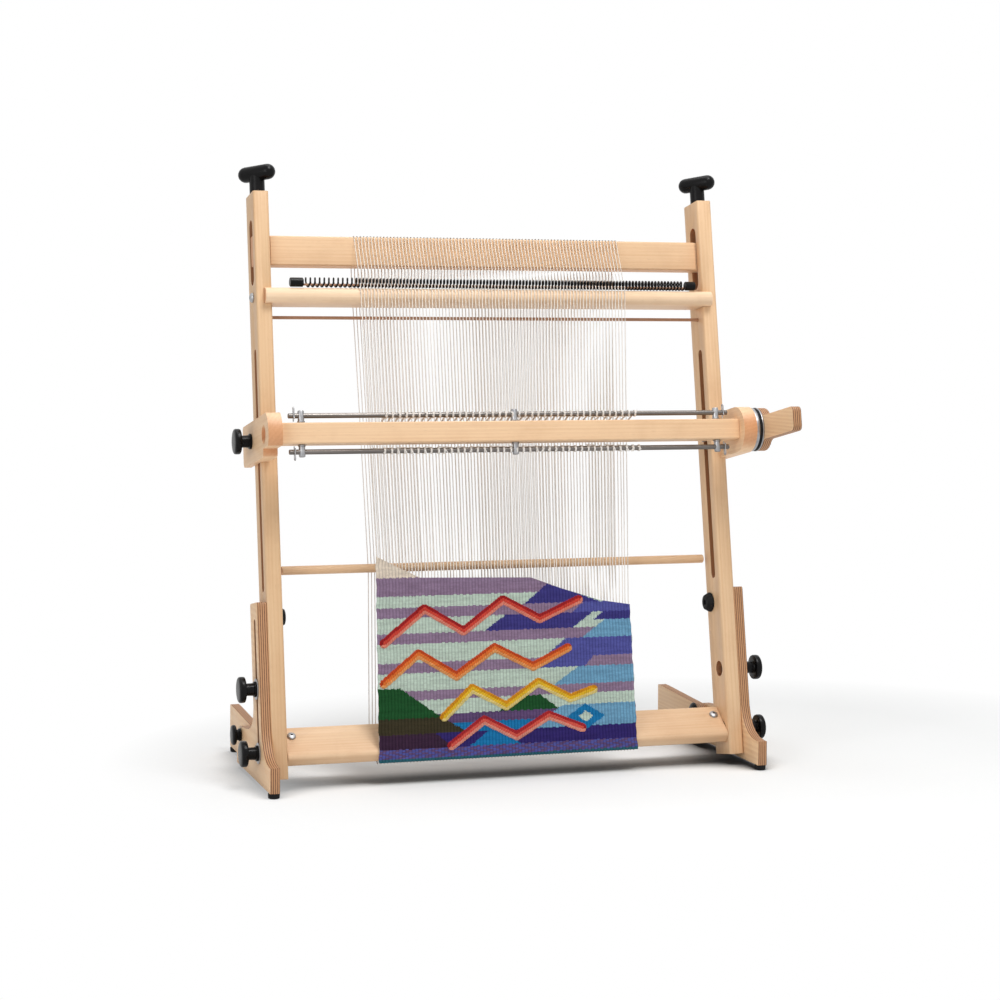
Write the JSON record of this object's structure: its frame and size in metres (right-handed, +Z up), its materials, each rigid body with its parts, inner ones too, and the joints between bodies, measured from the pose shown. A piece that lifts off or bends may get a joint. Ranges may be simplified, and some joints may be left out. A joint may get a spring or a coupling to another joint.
{
  "type": "tapestry loom",
  "caption": "Leaning table-top tapestry loom of maple and plywood with a screw-raised top beam, warp coil, turning shed bar with heddles, folding rear legs and a small tapestry in work.",
  "frame": {"origin": "middle of the bounding box's base, on the surface that the pads stand on", "axes": "+Z up, +X to the weaver's right, +Y away from the weaver"},
  "size_m": [0.6968, 0.3734, 0.7735],
  "materials": {
    "maple": "pale maple, planed and oiled",
    "birch_ply": "birch plywood with its plies showing at the edges",
    "black_plastic": "black moulded plastic, fine texture",
    "zinc_steel": "zinc-plated steel",
    "steel_rod": "plain steel rod, a little dark",
    "spring_steel": "dark oiled spring wire",
    "brown_rod": "coppered steel rod",
    "black_rubber": "black rubber",
    "cotton_thread": "unbleached cotton thread",
    "woven_wool": "wool weft in bands and wedges of many colours"
  },
  "bodies": {
    "frame": {"upright_left": "maple", "upright_right": "maple", "coil_bar": "maple", "coil_bar_screw_left": "zinc_steel", "coil_bar_screw_right": "zinc_steel", "warp_coil": "spring_steel", "coil_cap_left": "black_plastic", "coil_cap_right": "black_plastic", "coil_rod": "brown_rod", "lease_rod": "brown_rod", "bottom_beam": "maple", "beam_cleat_left": "birch_ply", "beam_cleat_right": "birch_ply", "beam_bolt_left": "zinc_steel", "beam_bolt_right": "zinc_steel", "bumper_left": "black_rubber", "bumper_right": "black_rubber", "warp_bar": "maple", "leg_bolt_upper_left": "zinc_steel", "leg_bolt_lower_left": "zinc_steel", "leg_bolt_upper_right": "zinc_steel", "leg_bolt_lower_right": "zinc_steel", "warp": "cotton_thread", "tapestry": "woven_wool"},
    "top_beam": {"top_beam": "maple"},
    "t_handle_left": {"t_handle_left": "black_plastic", "lift_screw_left": "steel_rod"},
    "t_handle_right": {"t_handle_right": "black_plastic", "lift_screw_right": "steel_rod"},
    "foot_left": {"foot_left": "birch_ply", "front_pad_left": "black_rubber", "rear_bolt_left": "black_plastic"},
    "rear_leg_left": {"rear_leg_left": "birch_ply", "rear_pad_left": "black_rubber"},
    "rear_knob_left": {"rear_knob_left": "black_plastic"},
    "foot_right": {"foot_right": "birch_ply", "front_pad_right": "black_rubber", "rear_bolt_right": "black_plastic"},
    "rear_leg_right": {"rear_leg_right": "birch_ply", "rear_pad_right": "black_rubber"},
    "rear_knob_right": {"rear_knob_right": "black_plastic"},
    "leg_knob_upper_left": {"leg_knob_upper_left": "black_plastic"},
    "leg_knob_upper_right": {"leg_knob_upper_right": "black_plastic"},
    "leg_knob_lower_left": {"leg_knob_lower_left": "black_plastic"},
    "leg_knob_lower_right": {"leg_knob_lower_right": "black_plastic"},
    "shed_carriage": {"shed_bracket_left": "maple", "shed_bracket_right": "maple", "shed_bolt_left": "zinc_steel", "shed_bolt_right": "zinc_steel"},
    "shed_knob_left": {"shed_knob_left": "black_plastic"},
    "shed_knob_right": {"shed_knob_right": "black_plastic"},
    "shed_bar": {"shed_bar": "maple", "heddle_rod_upper": "steel_rod", "heddle_rod_lower": "steel_rod", "friction_ring_inner": "zinc_steel", "friction_ring_rubber": "black_rubber", "friction_ring_outer": "zinc_steel", "shed_handle": "birch_ply", "heddles_upper": "cotton_thread", "heddles_lower": "cotton_thread"}
  },
  "joints": [
    {"name": "t_handle_left_turn", "type": "hinge", "parent": "frame", "child": "t_handle_left", "pos_m": [-0.3021, 0.06401, 0.7543], "axis": [0, 0.1736, 0.9848], "range_deg": [-3742, 2835]},
    {"name": "t_handle_right_turn", "type": "hinge", "parent": "frame", "child": "t_handle_right", "pos_m": [0.3021, 0.06401, 0.7543], "axis": [0, 0.1736, 0.9848], "range_deg": [-3742, 2835]},
    {"name": "top_beam_lift", "type": "slide", "parent": "frame", "child": "top_beam", "axis": [0, 0.1736, 0.9848], "range_m": [-0.0165, 0.0125], "deforming": ["warp"]},
    {"name": "foot_left_height", "type": "slide", "parent": "frame", "child": "foot_left", "axis": [0, -0.1736, -0.9848], "range_m": [0, 0.08]},
    {"name": "foot_right_height", "type": "slide", "parent": "frame", "child": "foot_right", "axis": [0, -0.1736, -0.9848], "range_m": [0, 0.08]},
    {"name": "rear_leg_left_fold", "type": "hinge", "parent": "foot_left", "child": "rear_leg_left", "pos_m": [-0.3061, 0.05024, 0.0465], "axis": [1, 0, 0], "range_deg": [0, 100]},
    {"name": "rear_knob_left_turn", "type": "hinge", "parent": "foot_left", "child": "rear_knob_left", "pos_m": [-0.331, 0.05024, 0.0465], "axis": [1, 0, 0], "continuous": true},
    {"name": "rear_leg_right_fold", "type": "hinge", "parent": "foot_right", "child": "rear_leg_right", "pos_m": [0.3061, 0.05024, 0.0465], "axis": [1, 0, 0], "range_deg": [0, 100]},
    {"name": "rear_knob_right_turn", "type": "hinge", "parent": "foot_right", "child": "rear_knob_right", "pos_m": [0.331, 0.05024, 0.0465], "axis": [1, 0, 0], "continuous": true},
    {"name": "leg_knob_upper_left_turn", "type": "hinge", "parent": "frame", "child": "leg_knob_upper_left", "pos_m": [-0.336, -0.05028, 0.12051], "axis": [1, 0, 0], "continuous": true},
    {"name": "leg_knob_upper_right_turn", "type": "hinge", "parent": "frame", "child": "leg_knob_upper_right", "pos_m": [0.336, -0.05028, 0.12051], "axis": [1, 0, 0], "continuous": true},
    {"name": "leg_knob_lower_left_turn", "type": "hinge", "parent": "frame", "child": "leg_knob_lower_left", "pos_m": [-0.336, -0.06382, 0.0437], "axis": [1, 0, 0], "continuous": true},
    {"name": "leg_knob_lower_right_turn", "type": "hinge", "parent": "frame", "child": "leg_knob_lower_right", "pos_m": [0.336, -0.06382, 0.0437], "axis": [1, 0, 0], "continuous": true},
    {"name": "shed_carriage_slide", "type": "slide", "parent": "frame", "child": "shed_carriage", "axis": [0, 0.1736, 0.9848], "range_m": [-0.165, 0.11], "deforming": ["heddles_upper", "heddles_lower"]},
    {"name": "shed_knob_left_turn", "type": "hinge", "parent": "shed_carriage", "child": "shed_knob_left", "pos_m": [-0.332, 0.0041, 0.42317], "axis": [1, 0, 0], "continuous": true},
    {"name": "shed_knob_right_turn", "type": "hinge", "parent": "shed_carriage", "child": "shed_knob_right", "pos_m": [0.332, 0.0041, 0.42317], "axis": [1, 0, 0], "continuous": true},
    {"name": "shed_bar_turn", "type": "hinge", "parent": "shed_carriage", "child": "shed_bar", "pos_m": [0, -0.0719, 0.43556], "axis": [1, 0, 0], "range_deg": [-40, 40], "deforming": ["heddles_upper", "heddles_lower"]}
  ],
  "couplings": [
    {"joint": "t_handle_left_turn", "follows": "top_beam_lift", "rad_per_m": 3957.9},
    {"joint": "t_handle_right_turn", "follows": "top_beam_lift", "rad_per_m": 3957.9},
    {"joint": "foot_right_height", "follows": "foot_left_height", "ratio": 1}
  ]
}
